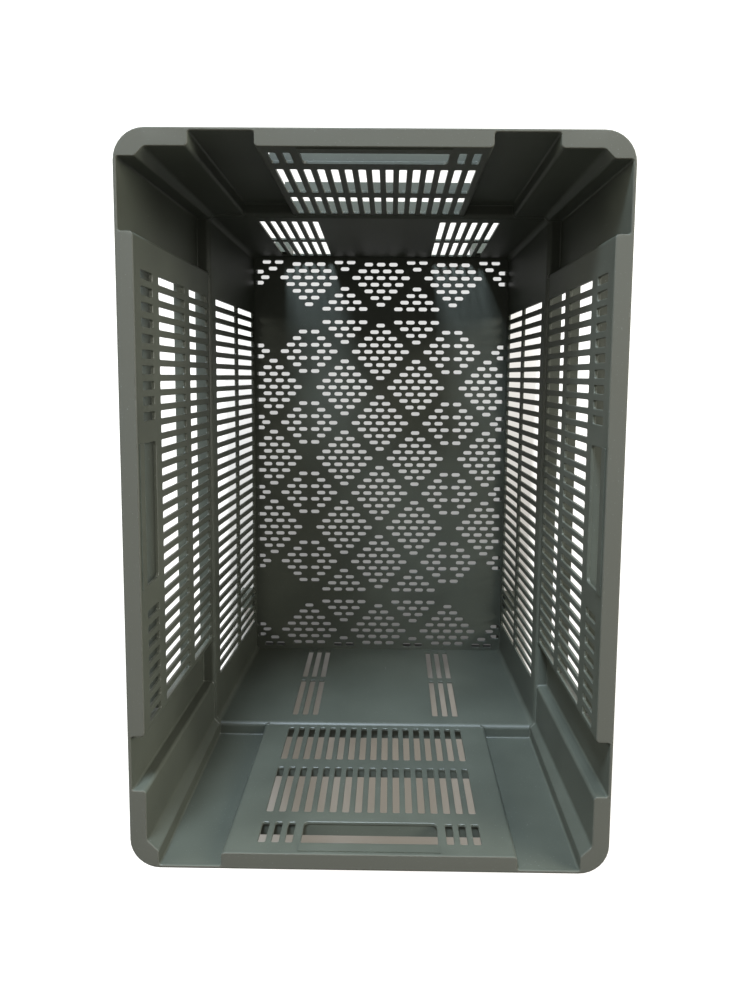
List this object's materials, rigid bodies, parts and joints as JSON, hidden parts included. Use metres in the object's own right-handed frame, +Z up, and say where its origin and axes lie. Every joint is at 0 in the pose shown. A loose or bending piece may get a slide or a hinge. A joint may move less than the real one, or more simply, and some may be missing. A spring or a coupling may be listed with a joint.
{
  "type": "stackable storage crate",
  "caption": "Deep open-top plastic crate with slotted walls, a diamond-patterned floor, hand openings in all walls and nesting channels below the rim.",
  "frame": {"origin": "middle of the crate's outline, on the ground plane under its base", "axes": "+Z up to the open rim; +Y along the long side, towards end A, whose channels lie away from the corners; +X along the short side, to the right when looking down with end A at the top"},
  "size_m": [0.4, 0.6, 0.42],
  "materials": {
    "crate_plastic": "satin, slightly scuffed"
  },
  "bodies": {
    "root": {"channel_end_a_left": "crate_plastic", "channel_end_a_right": "crate_plastic", "channel_end_b_left": "crate_plastic", "channel_end_b_right": "crate_plastic", "channel_left_a": "crate_plastic", "channel_left_b": "crate_plastic", "channel_right_a": "crate_plastic", "channel_right_b": "crate_plastic", "corner_post_a_left": "crate_plastic", "corner_post_a_right": "crate_plastic", "corner_post_b_left": "crate_plastic", "corner_post_b_right": "crate_plastic", "floor_plate": "crate_plastic", "floor_rib_lattice": "crate_plastic", "grille_end_a": "crate_plastic", "grille_end_b": "crate_plastic", "grille_left": "crate_plastic", "grille_right": "crate_plastic", "handle_rib_end_a": "crate_plastic", "handle_rib_end_b": "crate_plastic", "handle_rib_left": "crate_plastic", "handle_rib_right": "crate_plastic", "lower_corner_a_left": "crate_plastic", "lower_corner_a_right": "crate_plastic", "lower_corner_b_left": "crate_plastic", "lower_corner_b_right": "crate_plastic", "lower_wall_end_a": "crate_plastic", "lower_wall_end_b": "crate_plastic", "lower_wall_left": "crate_plastic", "lower_wall_right": "crate_plastic", "middle_rib_end_a": "crate_plastic", "middle_rib_end_b": "crate_plastic", "middle_rib_left": "crate_plastic", "middle_rib_right": "crate_plastic", "rim_rail_end_a": "crate_plastic", "rim_rail_end_b": "crate_plastic", "rim_rail_left": "crate_plastic", "rim_rail_right": "crate_plastic", "slot_band_end_a_1": "crate_plastic", "slot_band_end_a_2": "crate_plastic", "slot_band_end_b_1": "crate_plastic", "slot_band_end_b_2": "crate_plastic", "slot_band_left_1": "crate_plastic", "slot_band_left_2": "crate_plastic", "slot_band_right_1": "crate_plastic", "slot_band_right_2": "crate_plastic", "stacking_foot_end_a_left": "crate_plastic", "stacking_foot_end_a_right": "crate_plastic", "stacking_foot_end_b_left": "crate_plastic", "stacking_foot_end_b_right": "crate_plastic", "stacking_foot_left_a": "crate_plastic", "stacking_foot_left_b": "crate_plastic", "stacking_foot_right_a": "crate_plastic", "stacking_foot_right_b": "crate_plastic", "waist_flange_end_a": "crate_plastic", "waist_flange_end_b": "crate_plastic", "waist_flange_left": "crate_plastic", "waist_flange_right": "crate_plastic"}
  },
  "joints": []
}
